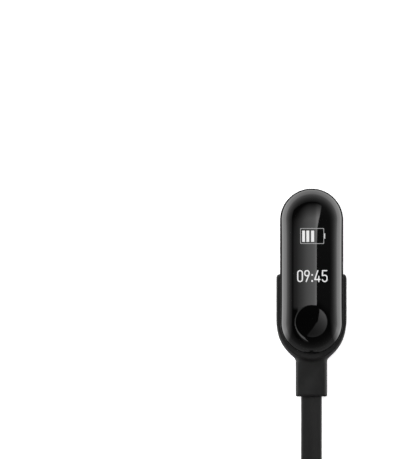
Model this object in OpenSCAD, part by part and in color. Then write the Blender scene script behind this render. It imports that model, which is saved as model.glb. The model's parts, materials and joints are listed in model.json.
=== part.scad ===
/* [Tracker] */
// Length of the tracker capsule
tracker_len = 46.9; // [40:0.1:57]
// Width of the tracker capsule
tracker_w = 17.9; // [14.9:0.1:21.5]
// Height of the tracker capsule, without the sensor window
tracker_h = 12; // [11.4:0.1:14.5]
// Radius of the rounded edge of the front glass
edge_r = 4.5; // [3.7:0.1:4.7]
// Thickness of the front glass
glass_t = 1; // [0.8:0.05:1.2]
// Thickness of the back shell's wall
shell_wall = 0.9; // [0.7:0.05:1.1]
// Diameter of the touch button's dimple
dimple_d = 9.1; // [7:0.1:11]
// Depth of the touch button's dimple
dimple_depth = 0.5; // [0.3:0.05:0.6]
// Height of the strap groove round the capsule
groove_h = 1; // [0.8:0.05:1.2]
// Radius of the optical sensor's window
window_r = 3.6; // [3:0.1:4.3]
// How far the sensor window stands out of the underside
window_lift = 0.45; // [0.3:0.05:0.6]

/* [Cradle] */
// Wall seen beside the capsule
cradle_wall = 1; // [0.8:0.05:1.4]
// Thickness of the cradle's floor
floor_t = 1.8; // [1.5:0.1:2.2]
// Length of the bowl, from the arm tips to the rim at the neck
bowl_len = 24; // [20:0.1:29]
// Wall at the closed end, beyond the capsule
end_wall = 1.6; // [1.5:0.05:2]
// Length over which the bowl's end tapers in, as an ellipse
taper_len = 11.3; // [10:0.1:13]
// Width of the finger slot between the arms
slot_w = 9.7; // [8:0.1:11]
// Depth of the finger slot from the arm tips
slot_depth = 8.1; // [6.5:0.1:10]
// Clearance between the capsule and the cradle
fit = 0.15; // [0.1:0.01:0.2]
// Width of the neck
neck_w = 8.94; // [8.4:0.01:10.8]
// Length of the neck
neck_len = 10.5; // [9:0.1:13]
// Height of the neck
neck_h = 5; // [4.8:0.1:6]

/* [Pins] */
// Distance between the two charging pins
pin_pitch = 3.66; // [3:0.01:4.4]
// Radius of a pin's plunger
pin_r = 0.42; // [0.35:0.01:0.5]
// Travel of a pin's plunger
pin_travel = 0.5; // [0.3:0.05:0.6]

/* [Cord and plug] */
// Width of the flat cord
cord_w = 5.9; // [4.9:0.1:7]
// Thickness of the flat cord
cord_t = 2; // [1.6:0.1:2]
// Width of the plug's grip
grip_w = 14.9; // [13.6:0.1:18]
// Length of the plug's grip
grip_len = 16.1; // [13.4:0.1:20]
// Thickness of the plug's grip
grip_h = 8; // [7:0.1:8]
// Length of the collar where the cord enters the plug
collar_len = 2; // [1.6:0.1:2.4]
// Length of the metal shell that stands out of the grip
usb_out = 12; // [11.7:0.1:12.5]

/* [Hidden] */

$fn = 64;
eps = 0.01;          // overlap of a cut with the face that it opens
over = 1;            // how far a through cut runs past a face
touch = 0.05;        // gap between inner pieces that lie against each other
s45 = sqrt(0.5);     // sine and cosine of the 45 degree slope

// Places along Y. The cord's exit is the datum, so a change of size leaves the cord where it is.
exit_y = -29.5;
rim_y = exit_y + neck_len;
tips_y = rim_y + bowl_len;
tail_y = rim_y + end_wall;
half_w = tracker_w / 2;
end_y = tail_y + half_w;
mid_len = tracker_len - tracker_w;
top_end_y = end_y + mid_len;
mid_y = end_y + mid_len / 2;
seat_gap = 0.1;
seat_z = floor_t + seat_gap;

// Cross-section of the capsule, as half-widths at heights above its underside
silhouette_z = tracker_h - edge_r - 0.3;
crown_drop = tracker_h - silhouette_z;
edge_x = half_w - edge_r;
crown_r = (edge_x * edge_x + crown_drop * crown_drop - edge_r * edge_r)
    / (2 * (crown_drop - edge_r));
seam_z = silhouette_z - 0.9;
gasket_t = 0.1;
shell_top = seam_z - gasket_t;
slope_h = 2.7;
belly_w = half_w - 0.65;
foot_w = belly_w - slope_h;
groove_w = half_w - 1.05;
groove_hi = shell_top - 0.6;
groove_lo = groove_hi - groove_h;
belly_top = groove_lo - 0.4;
collar_w = half_w - 0.2;
glass_in_w = half_w - glass_t;

// Cradle
out_w = half_w + 0.98 * cradle_wall;
taper_y = rim_y + taper_len;
lip_top = seat_z + groove_hi - 0.15;
slope_fit = fit / s45;
slot_y = tips_y - slot_depth + slot_w / 2;
arm_corner = 0.8;
neck_corner = 0.8;
blend_power = 8;
skin = 0.8;          // shell left between the well's slope and the pocket behind it
pocket_top = neck_h - 1;
base_gap = 0.08;

// Charging pins: both lean at 45 degrees, square to the slope at the capsule's end
pin_x = pin_pitch / 2;
pad_r = 0.9;
pad_t = 0.8;
pad_sink = 0.3;
pin_slope_z = 1.55;
pin_cone_r = foot_w + pin_slope_z;
pin_y = end_y - sqrt(pin_cone_r * pin_cone_r - pin_x * pin_x);
pin_z = seat_z + pin_slope_z;
pin_gap = 0.05;
barrel_r = pin_r + 0.33;
barrel_bore = pin_r + 0.13;
barrel_mouth = pin_r + 0.05;
barrel_top = -0.45;
barrel_wall = 0.15;
tip_at = pad_sink - pin_gap;
head_r = barrel_bore - 0.05;
head_top = barrel_top - barrel_wall - 0.05;
head_t = 0.4;
spring_closed = 0.55;    // room left for the closed spring when the pin is pressed all the way in
barrel_bottom = head_top - head_t - pin_travel - spring_closed - barrel_wall;

// Contact board, square to the pins. The pocket is as wide as the board and the cord need, and the
// plate that closes it stays under the board's lower edge.
board_t = 0.5;
board_len = 2;
board_w = pin_pitch + 2.6;
board_low = pin_z + (barrel_bottom - board_t - board_len / 2) * s45;
pocket_w = max(neck_w - 2.1, cord_w + 0.8, board_w + 0.5);
base_t = min(0.6, board_low - 0.15);

// Cord: the route's points, from inside the neck to inside the plug
route = [[0, -26, 2.4], [0, -29, 2.4], [0, -32, 2.4], [0, -35, 2.28], [0, -38, 2.05],
    [0, -41, 1.76], [0, -44, 1.48], [0, -48, 1.2], [0, -53, 1.04], [0, -60, 1], [0, -68, 1],
    [0, -76, 1], [0, -82, 1.04], [0, -87, 1.2], [0, -91, 1.5], [0, -95, 1.98], [0, -99, 2.58],
    [0, -103, 3.18], [0, -106, 3.58], [0, -109, 3.86], [0, -112, 3.98], [0, -114, 4]];
cord_in_plug = 1.4;
cord_gap = 0.05;     // clearance round the cord where the plug and the anchor hold it
cord_z = route[0][2];
cord_start_y = route[0][1];
cord_corner = 0.7;

// Plug
plug_z = route[len(route) - 1][2];
collar_y = route[len(route) - 1][1] + cord_in_plug;
grip_y = collar_y - collar_len;
nose_y = grip_y - grip_len;
collar_w_plug = cord_w + 3.15;
collar_h = cord_t + 3.6;
grip_corner = 1.2;
usb_w = 12;
usb_h = 4.5;
usb_wall = 0.3;
usb_in = 6;
usb_corner = 0.35;
tongue_h = 1.9;
core_gap = 0.05;
strip_w = 1;
strip_t = 0.15;
strip_pitch = 2.2;

// Sweeps a half section round both ends of the capsule's outline and along its sides
module capsule_sweep() {
    for (turn = [0, 180])
        translate([0, mid_y, 0]) rotate([0, 0, turn]) translate([0, mid_len / 2, 0])
            rotate_extrude(angle = 180) children();
    translate([0, mid_y, 0]) rotate([90, 0, 0]) linear_extrude(mid_len, center = true) {
        children();
        mirror([1, 0]) children();
    }
}

// Flat plate of the capsule's outline
module capsule_plate(half, z, t) {
    translate([0, 0, z]) linear_extrude(t) {
        for (y = [end_y, top_end_y]) translate([0, y]) circle(half);
        translate([-half, end_y]) square([2 * half, mid_len]);
    }
}

// Half section under the crowned glass, drawn in by a given amount
module crown_section(inset) {
    reach = crown_r - inset;
    corner = edge_r - inset;
    join_x = edge_x * (crown_r - inset) / (crown_r - edge_r);
    intersection() {
        union() {
            intersection() {
                translate([0, tracker_h - crown_r]) circle(reach, $fn = 360);
                translate([0, seam_z]) square([join_x, tracker_h]);
            }
            translate([edge_x, silhouette_z]) circle(corner, $fn = 96);
        }
        translate([0, seam_z]) square([half_w + over, tracker_h]);
    }
}

// Puts a piece in the frame of a charging pin: origin on the capsule's slope, +Z into the capsule
module at_pin(side) {
    translate([side * pin_x, pin_y, pin_z]) rotate([-45, 0, 0]) children();
}

module box(size, corner) {
    linear_extrude(size[2]) {
        square([size[0] - 2 * corner, size[1]], center = true);
        square([size[0], size[1] - 2 * corner], center = true);
        for (x = [-1, 1], y = [-1, 1])
            translate([x * (size[0] / 2 - corner), y * (size[1] / 2 - corner)]) circle(corner);
    }
}

// Rounded bar along Y, from the given face towards the plug's nose
module bar(w, h, corner, y, length) {
    translate([0, y, plug_z]) rotate([90, 0, 0]) box([w, h, length], corner);
}

/* Tracker */

module front_glass() {
    color("#0b0b0d") translate([0, 0, seat_z]) difference() {
        capsule_sweep() difference() {
            crown_section(0);
            crown_section(glass_t);
        }
        dish_r = (dimple_d * dimple_d / 4 + dimple_depth * dimple_depth) / (2 * dimple_depth);
        translate([0, end_y, tracker_h - dimple_depth + dish_r]) sphere(dish_r, $fn = 180);
    }
}

module glass_gasket() {
    color("#1c1c1e") translate([0, 0, seat_z]) difference() {
        capsule_plate(collar_w - 0.1, shell_top, gasket_t);
        capsule_plate(glass_in_w + 0.1, shell_top - over, gasket_t + 2 * over);
    }
}

// Stack under the glass: display panel, chassis and main board. The panel's lower edge clears the
// dimple, and its upper corners decide how high it can sit under the crown.
panel_w = tracker_w - 5.9;
panel_low = end_y + dimple_d / 2 + 1.95;
panel_past = 1.5;
panel_len = top_end_y + panel_past - panel_low;
panel_y = panel_low + panel_len / 2;
panel_t = 1;
panel_corner = norm([panel_w / 2, panel_past]);
panel_top = silhouette_z + sqrt(pow(edge_r - glass_t, 2) - pow(panel_corner - edge_x, 2)) - touch;
chassis_top = panel_top - panel_t - 0.2;
chassis_t = 0.6;
chassis_w = edge_x + sqrt(pow(edge_r - glass_t, 2) - pow(chassis_top - silhouette_z, 2)) - 0.2;
pcb_z = seam_z + 0.2;
pcb_t = 0.6;
pcb_top = pcb_z + pcb_t;
pcb_w = glass_in_w - 0.6;
flex_w = 5;
flex_t = 0.2;

module display_panel() {
    color("#15161a") translate([0, panel_y, seat_z + panel_top - panel_t])
        box([panel_w, panel_len, panel_t], 0.6);
}

flex_back = panel_low - 0.8;
flex_on_panel = 3.3;
flex_on_board = 2.2;

module display_flex() {
    high = panel_top - panel_t;
    color("#b8742a") translate([-flex_w / 2, 0, seat_z]) rotate([90, 0, 90])
        linear_extrude(flex_w) {
            translate([flex_back, high - flex_t]) square([flex_on_panel, flex_t]);
            translate([flex_back, pcb_top]) square([flex_t, high - pcb_top]);
            translate([flex_back + flex_t - flex_on_board, pcb_top]) square([flex_on_board, flex_t]);
        }
}

module touch_sensor() {
    color("#8a6a2c") translate([0, end_y, seat_z + chassis_top + 0.6])
        cylinder(r = dimple_d / 2 - 0.7, h = 0.2);
}

module shell_section(inset) {
    slope_in = inset / s45;
    polygon([[0, inset], [foot_w + inset - slope_in, inset],
        [belly_w - inset, slope_h + slope_in - inset], [belly_w - inset, belly_top - 0.4 * inset],
        [groove_w - inset, groove_lo - 0.4 * inset], [groove_w - inset, groove_hi + 0.4 * inset],
        [collar_w - inset, shell_top - 0.3 + 0.4 * inset], [collar_w - inset, shell_top],
        [0, shell_top]]);
}

module back_shell() {
    color("#17171a") difference() {
        translate([0, 0, seat_z]) difference() {
            capsule_sweep() difference() {
                shell_section(0);
                shell_section(shell_wall);
            }
            translate([0, mid_y, -over]) cylinder(r = window_r + 0.4, h = shell_wall + 2 * over);
        }
        for (side = [-1, 1]) at_pin(side) translate([0, 0, -over]) cylinder(r = pad_r, h = 4);
    }
}

post_x = pcb_w - 1.6;
post_ys = [end_y + 1, top_end_y - 1];

module inner_chassis() {
    color("#3a3b40") translate([0, 0, seat_z]) {
        difference() {
            capsule_plate(chassis_w, chassis_top - chassis_t, chassis_t);
            translate([-flex_w / 2 - 0.5, flex_back - 0.8, chassis_top - over])
                cube([flex_w + 1, flex_t + 2, 2 * over]);
            translate([0, panel_y + 2, chassis_top - over]) box([7, 14, 2 * over], 1);
        }
        for (x = [-1, 1], y = post_ys)
            translate([x * post_x, y, pcb_top])
                cylinder(r = 0.6, h = chassis_top - chassis_t - pcb_top + eps);
    }
}

cell_w = foot_w + belly_w - 3.1;
cell_z = shell_wall + 1.4;
cell_top = pcb_z - 0.5;
cell_past = 1.2;
cell_low = end_y + 9.2;
cell_len = top_end_y + cell_past - cell_low;
cell_y = cell_low + cell_len / 2;

module battery_cell() {
    color("#c9ccd1") translate([0, cell_y, seat_z + cell_z])
        box([cell_w, cell_len, cell_top - cell_z], 0.9);
}

module battery_board() {
    color("#1f6b3a") translate([0, cell_low - 0.45, seat_z + cell_z + 1.9])
        box([cell_w - 2, 0.6, cell_top - cell_z - 2], 0.1);
}

module main_board() {
    color("#14532b") translate([0, 0, seat_z]) difference() {
        capsule_plate(pcb_w, pcb_z, pcb_t);
        translate([pcb_w - 1.6, mid_y, pcb_z - over]) box([3.4, 6, 2 * over + pcb_t], 0.6);
    }
}

shield_gap = 0.19;
shield_t = 0.15;
chip_gap = 0.15;
shield_h = chassis_top - chassis_t - pcb_top - shield_gap;
chip_h = shield_h - shield_t - chip_gap;

// Chips on the main board: centre along X and Y, then width and length. One lies beyond the shield,
// three above the flex's foot and one below it.
CHIPS = [[0.6, top_end_y + 2, 4.2, 4.2], [-4.8, panel_low + 12, 2.6, 3.4],
    [3.2, panel_low + 0.6, 3, 2.2], [-4.6, panel_low + 4.9, 2, 2], [-1.2, panel_low - 4.6, 2.6, 1.8]];

module board_chips() {
    color("#0f0f11")
        for (chip = CHIPS)
            translate([chip[0], chip[1], seat_z + pcb_top])
                linear_extrude(chip_h) square([chip[2], chip[3]], center = true);
}

shield_w = 7;
shield_len = 7.6;

module rf_shield() {
    color("#b9bcc0") translate([0.4, top_end_y - 7.3, seat_z + pcb_top]) difference() {
        box([shield_w, shield_len, shield_h], 0.4);
        translate([0, 0, -eps])
            box([shield_w - 2 * shield_t, shield_len - 2 * shield_t, shield_h - shield_t], 0.3);
    }
}

module antenna() {
    color("#c7a14a") translate([0, top_end_y, seat_z + pcb_top + 0.2])
        rotate_extrude(angle = 180) translate([chassis_w - 0.75, 0])
            square([0.3, chassis_top - chassis_t - pcb_top - 0.4]);
}

motor_r = 4;
motor_y = end_y + 1.9;
motor_z = shell_wall + 0.6;
motor_h = 2.7;
motor_wall = 0.25;
rotor_gap = 0.3;
shaft_r = 0.4;
rotor_run = 0.04;

module motor_can() {
    color("#a9adb3") translate([0, motor_y, seat_z + motor_z]) difference() {
        cylinder(r = motor_r, h = motor_h);
        translate([0, 0, motor_wall]) cylinder(r = motor_r - motor_wall, h = motor_h - 2 * motor_wall);
    }
}

module motor_shaft() {
    color("#d6d8db") translate([0, motor_y, seat_z + motor_z + motor_wall])
        cylinder(r = shaft_r, h = motor_h - 2 * motor_wall);
}

module motor_rotor() {
    reach = motor_r - motor_wall - rotor_gap;
    tall = motor_h - 2 * (motor_wall + rotor_gap);
    color("#7d6f5a") translate([0, motor_y, seat_z + motor_z + motor_wall + rotor_gap])
        difference() {
            union() {
                intersection() {
                    cylinder(r = reach, h = tall);
                    translate([-reach, -reach, 0]) cube([2 * reach, reach, tall]);
                }
                cylinder(r = 1.4, h = tall);
            }
            translate([0, 0, -over]) cylinder(r = shaft_r + rotor_run, h = tall + 2 * over);
        }
}

// Optical sensor under the middle of the capsule, from the window up
baffle_z = shell_wall + touch;
baffle_t = 0.6;
eye_r = 0.95;
led_x = 2;

module sensor_window() {
    color("#1a1a22") translate([0, mid_y, seat_z - window_lift]) {
        cylinder(r1 = window_r - 0.3, r2 = window_r, h = window_lift);
        translate([0, 0, window_lift]) cylinder(r = window_r, h = shell_wall);
    }
}

module window_gasket() {
    color("#2b2b2e") translate([0, mid_y, seat_z]) difference() {
        cylinder(r = window_r + 0.4, h = shell_wall);
        translate([0, 0, -over]) cylinder(r = window_r, h = shell_wall + 2 * over);
    }
}

module light_baffle() {
    color("#101012") translate([0, mid_y, seat_z + baffle_z]) difference() {
        cylinder(r = window_r, h = baffle_t);
        for (x = [-led_x, 0, led_x])
            translate([x, 0, -over]) cylinder(r = eye_r, h = baffle_t + 2 * over);
    }
}

module sensor_leds() {
    color("#39b54a")
        for (x = [-led_x, led_x])
            translate([x, mid_y, seat_z + baffle_z + 0.2])
                linear_extrude(baffle_t - 0.2) square([1.1, 0.7], center = true);
}

module photodiode() {
    color("#3d3f52") translate([0, mid_y, seat_z + baffle_z + 0.2])
        linear_extrude(baffle_t - 0.2) square([1.2, 1.2], center = true);
}

module sensor_board() {
    color("#14532b") translate([0, mid_y, seat_z + baffle_z + baffle_t])
        box([2 * window_r + 1, 2 * window_r + 1.6, 0.4], 0.5);
}

module contact_pads() {
    color("#d8b25a")
        for (side = [-1, 1])
            at_pin(side) translate([0, 0, pad_sink]) cylinder(r = pad_r, h = pad_t);
}

// Sprung posts that join the pads to the main board
module contact_springs() {
    back = [pin_y + s45 * (pad_sink + pad_t), pin_z + s45 * (pad_sink + pad_t)];
    color("#c9a24a")
        for (side = [-1, 1])
            translate([side * pin_x, back[0] + 0.3, back[1] + 0.2])
                cylinder(r = 0.3, h = seat_z + pcb_z - back[1] - 0.2 - touch, $fn = 24);
}

/* Charging cradle */

// Half-width of the base's outline: a slightly longer ellipse that flows into the neck
foot_len = taper_len + 0.9;
function foot_half(y) =
    let (along = max(0, (taper_y - y) / foot_len), e = out_w * sqrt(max(0, 1 - along * along)))
    pow(pow(e, blend_power) + pow(neck_w / 2, blend_power), 1 / blend_power);

// Corner of a straight end: points of a quarter arc, from the given angle
function arc(cx, cy, r, from) =
    [for (k = [0 : 4]) [cx + r * cos(from + k * 22.5), cy + r * sin(from + k * 22.5)]];

function mirrored(points) =
    concat(points, [for (k = [len(points) - 1 : -1 : 0]) [-points[k][0], points[k][1]]]);

// Straight arms, then half an ellipse that closes at the rim
module bowl_outline() {
    steps = 18;
    side = [for (k = [0 : steps])
        let (turn = 90 * k / steps) [out_w * sin(turn), taper_y - taper_len * cos(turn)]];
    polygon(mirrored(concat(side, arc(out_w - arm_corner, tips_y - arm_corner, arm_corner, 0))));
}

module foot_outline() {
    steps = 20;
    fall = foot_len + 2;
    side = [for (k = [0 : steps]) let (y = taper_y - fall + fall * k / steps) [foot_half(y), y]];
    polygon(mirrored(concat(
        arc(neck_w / 2 - neck_corner, exit_y + neck_corner, neck_corner, -90),
        side, arc(out_w - arm_corner, tips_y - arm_corner, arm_corner, 0))));
}

module well_section() {
    polygon([[0, -seat_gap], [foot_w + slope_fit - seat_gap, -seat_gap],
        [belly_w + fit, slope_h + fit - slope_fit], [belly_w + fit, belly_top + 0.4 * fit],
        [groove_w + fit, groove_lo + 0.4 * fit], [groove_w + fit, tracker_h], [0, tracker_h]]);
}

// The well is a half turn round the capsule's end and a straight run out past the arm tips
module well() {
    run = tips_y - end_y + over;
    translate([0, end_y, seat_z]) {
        rotate([0, 0, 180]) rotate_extrude(angle = 180) well_section();
        translate([0, run, 0]) rotate([90, 0, 0]) linear_extrude(run) {
            well_section();
            mirror([1, 0]) well_section();
        }
    }
}

module finger_slot() {
    translate([0, 0, -over]) linear_extrude(floor_t + 2 * over) {
        translate([0, slot_y]) circle(slot_w / 2);
        translate([-slot_w / 2, slot_y]) square([slot_w, tips_y - slot_y + over]);
    }
}

// Pocket for the contact board and the cord's end, open at the underside
slope_line = seat_z - slope_fit + end_y - foot_w - skin / s45;
pocket_back = exit_y + 1.1;

module pocket() {
    translate([-pocket_w / 2, 0, 0]) rotate([90, 0, 90]) linear_extrude(pocket_w)
        polygon([[pocket_back, -over], [pocket_back, pocket_top],
            [slope_line - pocket_top, pocket_top], [slope_line + over, -over]]);
}

module cord_hole(gap, y, length) {
    translate([0, y, cord_z]) rotate([90, 0, 0]) translate([0, 0, -length])
        box([cord_w + 2 * gap, cord_t + 2 * gap, length], cord_corner);
}

module cradle_shell() {
    color("#2b2b2d") difference() {
        union() {
            linear_extrude(lip_top) bowl_outline();
            linear_extrude(neck_h) foot_outline();
        }
        well();
        finger_slot();
        pocket();
        cord_hole(0.1, exit_y - over, 2 * over + 1.2);
        for (side = [-1, 1]) at_pin(side) translate([0, 0, -1.6]) cylinder(r = barrel_r + 0.1, h = 1.6);
    }
}

base_front = slope_line - base_t - base_gap / s45;
base_len = base_front - pocket_back - base_gap;

module cradle_base() {
    color("#252527") translate([0, pocket_back + base_gap + base_len / 2, 0])
        box([pocket_w - 2 * base_gap, base_len, base_t], 0.3);
}

module contact_board() {
    color("#14532b") translate([0, pin_y, pin_z]) rotate([-45, 0, 0])
        translate([0, 0, barrel_bottom - board_t]) box([board_w, board_len, board_t], 0.2);
}

module pin_barrels() {
    tall = barrel_top - barrel_bottom;
    color("#b8963e")
        for (side = [-1, 1])
            at_pin(side) translate([0, 0, barrel_bottom]) difference() {
                cylinder(r = barrel_r, h = tall);
                translate([0, 0, barrel_wall]) cylinder(r = barrel_bore, h = tall - 2 * barrel_wall);
                translate([0, 0, barrel_wall]) cylinder(r = barrel_mouth, h = tall);
            }
}

module plunger(side) {
    color("#e3c15c") at_pin(side) {
        translate([0, 0, head_top - head_t]) cylinder(r = head_r, h = head_t);
        translate([0, 0, head_top - eps])
            cylinder(r = pin_r, h = tip_at - pin_r / 2 - head_top + eps);
        translate([0, 0, tip_at - pin_r / 2]) cylinder(r1 = pin_r, r2 = pin_r / 2, h = pin_r / 2);
    }
}

module plunger_left() {
    plunger(-1);
}

module plunger_right() {
    plunger(1);
}

// Sweeps a round or flat section along points that all lie in one plane square to X, or a coil
function ring(section, at, ahead) =
    let (t = ahead / norm(ahead), x = abs(t[0]) < 0.999 ? [1, 0, 0] : [0, 1, 0],
        up = cross(x, t) / norm(cross(x, t)), right = cross(t, up))
    [for (p = section) at + p[0] * right + p[1] * up];

module sweep(section, path) {
    n = len(section);
    last = len(path) - 1;
    rings = [for (k = [0 : last])
        each ring(section, path[k], path[min(last, k + 1)] - path[max(0, k - 1)])];
    walls = [for (k = [0 : last - 1], i = [0 : n - 1])
        [k * n + i, k * n + (i + 1) % n, (k + 1) * n + (i + 1) % n, (k + 1) * n + i]];
    ends = [[for (i = [n - 1 : -1 : 0]) i], [for (i = [0 : n - 1]) last * n + i]];
    polyhedron(rings, concat(walls, ends));
}

spring_wire = 0.05;
spring_turns = 4;

module pin_spring(side) {
    low = barrel_bottom + barrel_wall + spring_wire;
    high = head_top - head_t - spring_wire;
    steps = 14 * spring_turns;
    coil_r = barrel_bore - spring_wire - 0.06;
    section = [for (i = [0 : 5]) spring_wire * [cos(60 * i), sin(60 * i)]];
    coil = [for (k = [0 : steps]) let (turn = 360 * spring_turns * k / steps)
        [coil_r * cos(turn), coil_r * sin(turn), low + (high - low) * k / steps]];
    color("#c8ccd2") at_pin(side) sweep(section, coil);
}

module pin_spring_left() {
    pin_spring(-1);
}

module pin_spring_right() {
    pin_spring(1);
}

lead_r = 0.3;
lead_x = 0.9;
anchor_len = 1.6;

module charger_leads() {
    color("#b23a2e") difference() {
        for (x = [-lead_x, lead_x])
            translate([x, cord_start_y, 1.9]) rotate([-90, 0, 0])
                cylinder(r = lead_r, h = pin_y - cord_start_y, $fn = 24);
        translate([0, pin_y, pin_z]) rotate([-45, 0, 0])
            translate([-board_w, -board_w, barrel_bottom - board_t]) cube(2 * board_w);
    }
}

module cord_anchor() {
    low = base_t + touch;
    color("#3b3b3e") difference() {
        translate([-pocket_w / 2 + touch, cord_start_y - anchor_len, low])
            cube([pocket_w - 2 * touch, anchor_len, pocket_top - low - touch]);
        cord_hole(cord_gap, cord_start_y - anchor_len - over, anchor_len + 2 * over);
    }
}

/* Cord */

function flat_section(w, t, corner) = [for (quarter = [0 : 3], k = [0 : 2])
    let (angle = 90 * quarter + 45 * k, sx = quarter == 0 || quarter == 3 ? 1 : -1,
        sy = quarter < 2 ? 1 : -1)
    [sx * (w / 2 - corner) + corner * cos(angle), sy * (t / 2 - corner) + corner * sin(angle)]];

module cord() {
    color("#2a2a2c") sweep(flat_section(cord_w, cord_t, cord_corner), route);
}

/* USB plug */

module plug_collar() {
    color("#2a2a2c") difference() {
        bar(collar_w_plug, collar_h, 1, collar_y, collar_len);
        translate([0, collar_y + over, plug_z]) rotate([90, 0, 0])
            box([cord_w + 2 * cord_gap, cord_t + 2 * cord_gap, over + cord_in_plug + cord_gap],
                cord_corner);
        for (x = [-lead_x, lead_x])
            translate([x, collar_y, plug_z]) rotate([90, 0, 0]) cylinder(r = lead_r + 0.02, h = 4, $fn = 24);
    }
}

core_y = nose_y + usb_in;
core_len = grip_len - usb_in - 2.2;

module plug_grip() {
    color("#2d2d2f") difference() {
        bar(grip_w, grip_h, grip_corner, grip_y, grip_len);
        bar(usb_w + 2 * core_gap, usb_h + 2 * core_gap, usb_corner, core_y + core_len, grip_len);
        for (x = [-lead_x, lead_x])
            translate([x, grip_y + over, plug_z]) rotate([90, 0, 0])
                cylinder(r = lead_r + 0.02, h = 4, $fn = 24);
    }
}

module plug_core() {
    color("#e8e6df") bar(usb_w - 0.4, usb_h - 0.4, 0.3, core_y + core_len - touch, core_len - 2 * touch);
}

module plug_leads() {
    color("#b23a2e")
        for (x = [-lead_x, lead_x])
            translate([x, collar_y - cord_in_plug - cord_gap, plug_z]) rotate([90, 0, 0])
                cylinder(r = lead_r, h = collar_y - cord_in_plug - cord_gap - core_y - core_len, $fn = 24);
}

window_w = 2.5;
window_len = 2;
window_x = 2.9;
window_from_nose = 5.2;

module usb_shell() {
    end = nose_y - usb_out;
    color("#a4a6aa") difference() {
        bar(usb_w, usb_h, usb_corner, core_y, usb_in + usb_out);
        bar(usb_w - 2 * usb_wall, usb_h - 2 * usb_wall, 0.1, core_y + over, usb_in + usb_out + 2 * over);
        for (x = [-window_x, window_x])
            translate([x - window_w / 2, end + window_from_nose, plug_z - usb_h])
                cube([window_w, window_len, 2 * usb_h]);
    }
}

tongue_w = usb_w - 2 * usb_wall - 2 * core_gap;
tongue_low = plug_z - usb_h / 2 + usb_wall + core_gap;
tongue_len = usb_in + usb_out - 0.8;

module usb_tongue() {
    color("#efeee9") translate([0, core_y - tongue_len / 2, tongue_low]) difference() {
        box([tongue_w, tongue_len, tongue_h], 0.2);
        for (k = [-1.5 : 1.5])
            translate([k * strip_pitch - strip_w / 2 - 0.05, -tongue_len / 2 + 0.9, tongue_h - strip_t])
                cube([strip_w + 0.1, tongue_len, strip_t + over]);
    }
}

module usb_contacts() {
    color("#d9b458")
        for (k = [-1.5 : 1.5])
            translate([k * strip_pitch - strip_w / 2, core_y - tongue_len + 1,
                tongue_low + tongue_h - strip_t])
                cube([strip_w, tongue_len - 1.2, strip_t]);
}

front_glass();
glass_gasket();
display_panel();
display_flex();
touch_sensor();
back_shell();
inner_chassis();
battery_cell();
battery_board();
main_board();
board_chips();
rf_shield();
antenna();
motor_can();
motor_shaft();
motor_rotor();
sensor_board();
sensor_leds();
photodiode();
light_baffle();
sensor_window();
window_gasket();
contact_pads();
contact_springs();
cradle_shell();
cradle_base();
contact_board();
pin_barrels();
plunger_left();
plunger_right();
pin_spring_left();
pin_spring_right();
charger_leads();
cord_anchor();
cord();
plug_collar();
plug_grip();
plug_core();
plug_leads();
usb_shell();
usb_tongue();
usb_contacts();
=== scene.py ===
"""Looks for a fitness tracker docked in its charging cradle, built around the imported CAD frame."""
import json
import math

import bmesh
import bpy
import numpy as np
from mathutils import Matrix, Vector


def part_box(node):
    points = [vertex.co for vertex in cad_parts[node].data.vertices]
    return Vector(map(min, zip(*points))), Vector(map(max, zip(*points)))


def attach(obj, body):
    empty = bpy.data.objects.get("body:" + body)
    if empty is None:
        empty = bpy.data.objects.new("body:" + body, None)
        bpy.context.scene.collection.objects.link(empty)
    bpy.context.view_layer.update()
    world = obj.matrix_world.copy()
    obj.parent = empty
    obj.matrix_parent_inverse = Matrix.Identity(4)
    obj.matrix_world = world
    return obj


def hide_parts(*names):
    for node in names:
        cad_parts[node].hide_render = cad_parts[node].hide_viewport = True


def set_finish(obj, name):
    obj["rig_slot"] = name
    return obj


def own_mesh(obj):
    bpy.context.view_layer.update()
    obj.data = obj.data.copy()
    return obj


MM = 0.001
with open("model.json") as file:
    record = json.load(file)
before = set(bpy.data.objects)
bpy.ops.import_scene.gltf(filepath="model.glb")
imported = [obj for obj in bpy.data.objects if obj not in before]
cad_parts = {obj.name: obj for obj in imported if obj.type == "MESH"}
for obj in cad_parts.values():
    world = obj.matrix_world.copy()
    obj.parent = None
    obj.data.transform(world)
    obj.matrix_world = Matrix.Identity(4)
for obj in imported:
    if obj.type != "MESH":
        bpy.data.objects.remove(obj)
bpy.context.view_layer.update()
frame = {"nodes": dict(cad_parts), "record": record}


def place(node):
    """Lowest and highest corner of a CAD node, in millimetres."""
    low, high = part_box(node)
    return np.array(low) / MM, np.array(high) / MM


GLASS_LOW, GLASS_HIGH = place("front_glass")
SHELL_LOW, SHELL_HIGH = place("back_shell")
CRADLE_LOW, CRADLE_HIGH = place("cradle_shell")
GRIP_LOW, GRIP_HIGH = place("plug_grip")
COLLAR_LOW, COLLAR_HIGH = place("plug_collar")
USB_LOW, USB_HIGH = place("usb_shell")

HALF_W = GLASS_HIGH[0]
END_Y = GLASS_LOW[1] + HALF_W
TOP_END_Y = GLASS_HIGH[1] - HALF_W
MID_Y = (END_Y + TOP_END_Y) / 2
SEAT_Z = SHELL_LOW[2]
TOP_Z = GLASS_HIGH[2]
TIPS_Y = CRADLE_HIGH[1]
EXIT_Y = CRADLE_LOW[1]
OUT_W = CRADLE_HIGH[0]
LIP_TOP = CRADLE_HIGH[2]
SLOPE = math.sqrt(0.5)    # sine and cosine of 45 degrees


# ---------------------------------------------------------------- camera

# Width of the picture and the place at its middle, in millimetres
FRAME_WIDTH = 118.67
VIEW_CENTRE = (-28.93, 17.88)
FOCAL = 1000
SENSOR = 36
WIDTH_AT_Z = SEAT_Z + 7    # height at which the picture is FRAME_WIDTH wide


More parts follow.
